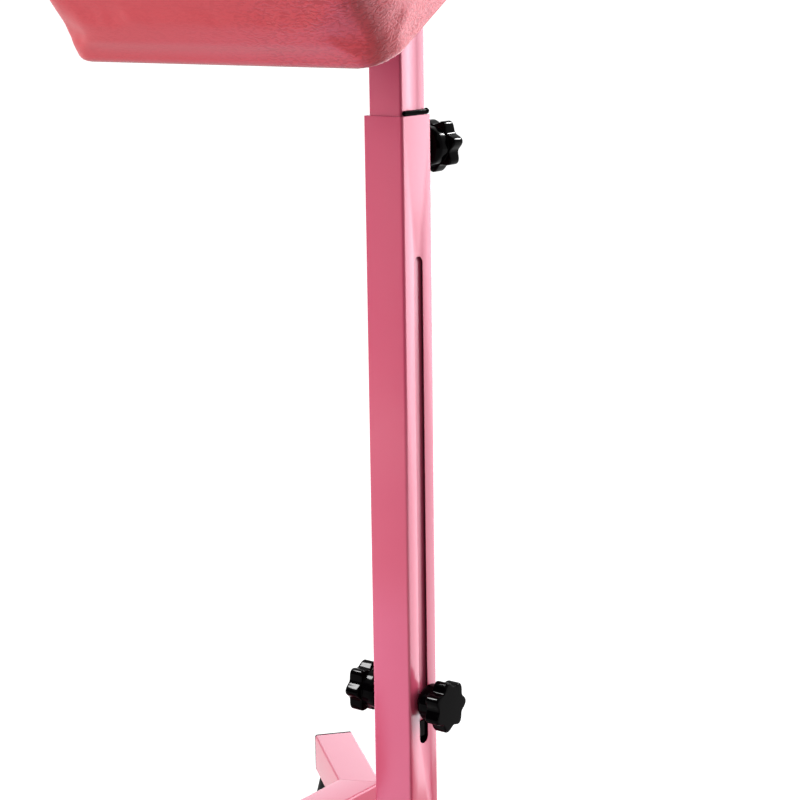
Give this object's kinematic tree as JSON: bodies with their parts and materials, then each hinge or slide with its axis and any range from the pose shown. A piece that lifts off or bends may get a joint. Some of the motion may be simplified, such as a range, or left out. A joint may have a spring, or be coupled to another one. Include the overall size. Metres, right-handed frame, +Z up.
{
  "type": "tattoo armrest stand",
  "caption": "Height-adjustable armrest stand: tilting upholstered pad on a telescopic square post, locked by star knobs, on a splayed H-shaped tube base with rubber feet.",
  "frame": {"origin": "on the axis of the square post, at floor level", "axes": "+Z up; -Y is the side the pad leans down to, +Y the back of the post with the clamp screw; the slots of the post face -X and +X"},
  "size_m": [0.435, 0.3857, 0.8257],
  "materials": {
    "pink_paint": "glossy pink powder coat",
    "pink_leather": "pebbled pink artificial leather over foam",
    "black_plastic": "polished black plastic",
    "black_rubber": "matt black rubber",
    "zinc_steel": "bright zinc",
    "brass": "turned brass",
    "white_nylon": "white nylon",
    "plywood": "bare plywood",
    "black_cloth": "black non-woven cloth"
  },
  "bodies": {
    "base": {"left_rail": "pink_paint", "right_rail": "pink_paint", "centre_bar": "pink_paint", "front_left_stub": "pink_paint", "front_left_end_plug": "black_plastic", "front_left_foot": "black_rubber", "front_left_foot_screw": "zinc_steel", "rear_left_stub": "pink_paint", "rear_left_end_plug": "black_plastic", "rear_left_foot": "black_rubber", "rear_left_foot_screw": "zinc_steel", "front_right_stub": "pink_paint", "front_right_end_plug": "black_plastic", "front_right_foot": "black_rubber", "front_right_foot_screw": "zinc_steel", "rear_right_stub": "pink_paint", "rear_right_end_plug": "black_plastic", "rear_right_foot": "black_rubber", "rear_right_foot_screw": "zinc_steel", "outer_post": "pink_paint", "clamp_weld_nut": "pink_paint", "left_guide_liner": "black_plastic", "right_guide_liner": "black_plastic"},
    "inner_post": {"inner_tube": "pink_paint", "inner_tube_cap": "black_plastic", "slide_block": "black_plastic", "cross_rod": "zinc_steel", "pivot_sleeve": "zinc_steel"},
    "upper_clamp": {"clamp_tip": "white_nylon"},
    "upper_clamp_knob": {"clamp_stud": "zinc_steel", "upper_knob": "black_plastic"},
    "right_clamp": {"right_washer": "black_plastic"},
    "right_clamp_knob": {"right_knob_insert": "brass", "right_knob": "black_plastic"},
    "left_clamp": {"left_washer": "black_plastic"},
    "left_clamp_knob": {"left_knob_insert": "brass", "left_knob": "black_plastic"},
    "pad_head": {"tilt_bracket": "pink_paint", "left_friction_disc": "white_nylon", "right_friction_disc": "white_nylon", "tilt_bolt": "zinc_steel", "front_left_pad_screw": "zinc_steel", "front_left_tee_nut": "zinc_steel", "rear_left_pad_screw": "zinc_steel", "rear_left_tee_nut": "zinc_steel", "front_right_pad_screw": "zinc_steel", "front_right_tee_nut": "zinc_steel", "rear_right_pad_screw": "zinc_steel", "rear_right_tee_nut": "zinc_steel", "dust_cloth": "black_cloth", "pad_board": "plywood", "pad_cushion": "pink_leather"},
    "tilt_clamp": {"tilt_washer": "black_plastic"},
    "tilt_clamp_knob": {"tilt_knob_insert": "brass", "tilt_knob": "black_plastic"}
  },
  "joints": [
    {"name": "height_slide", "type": "slide", "parent": "base", "child": "inner_post", "axis": [0, 0, 1], "range_m": [-0.025, 0.286]},
    {"name": "pad_tilt", "type": "hinge", "parent": "inner_post", "child": "pad_head", "pos_m": [0, 0, 0.6629], "axis": [1, 0, 0], "range_deg": [-92.1, 27.9]},
    {"name": "upper_clamp_travel", "type": "slide", "parent": "base", "child": "upper_clamp", "axis": [0, 1, 0], "range_m": [0, 0.00187]},
    {"name": "upper_knob_turn", "type": "hinge", "parent": "upper_clamp", "child": "upper_clamp_knob", "pos_m": [0, 0, 0.5325], "axis": [0, 1, 0], "range_deg": [0, 540]},
    {"name": "right_clamp_travel", "type": "slide", "parent": "inner_post", "child": "right_clamp", "axis": [1, 0, 0], "range_m": [0, 0.00187]},
    {"name": "right_knob_turn", "type": "hinge", "parent": "right_clamp", "child": "right_clamp_knob", "pos_m": [0, 0, 0.177], "axis": [1, 0, 0], "range_deg": [0, 540]},
    {"name": "left_clamp_travel", "type": "slide", "parent": "inner_post", "child": "left_clamp", "axis": [-1, 0, 0], "range_m": [0, 0.00187]},
    {"name": "left_knob_turn", "type": "hinge", "parent": "left_clamp", "child": "left_clamp_knob", "pos_m": [0, 0, 0.177], "axis": [-1, 0, 0], "range_deg": [0, 540]},
    {"name": "tilt_clamp_travel", "type": "slide", "parent": "pad_head", "child": "tilt_clamp", "axis": [1, 0, 0], "range_m": [0, 0.00187]},
    {"name": "tilt_knob_turn", "type": "hinge", "parent": "tilt_clamp", "child": "tilt_clamp_knob", "pos_m": [0, 0, 0.6629], "axis": [1, 0, 0], "range_deg": [0, 540]}
  ],
  "couplings": [
    {"joint": "upper_knob_turn", "follows": "upper_clamp_travel", "rad_per_m": 5026.5},
    {"joint": "right_knob_turn", "follows": "right_clamp_travel", "rad_per_m": 5026.5},
    {"joint": "left_knob_turn", "follows": "left_clamp_travel", "rad_per_m": 5026.5},
    {"joint": "tilt_knob_turn", "follows": "tilt_clamp_travel", "rad_per_m": 5026.5}
  ]
}
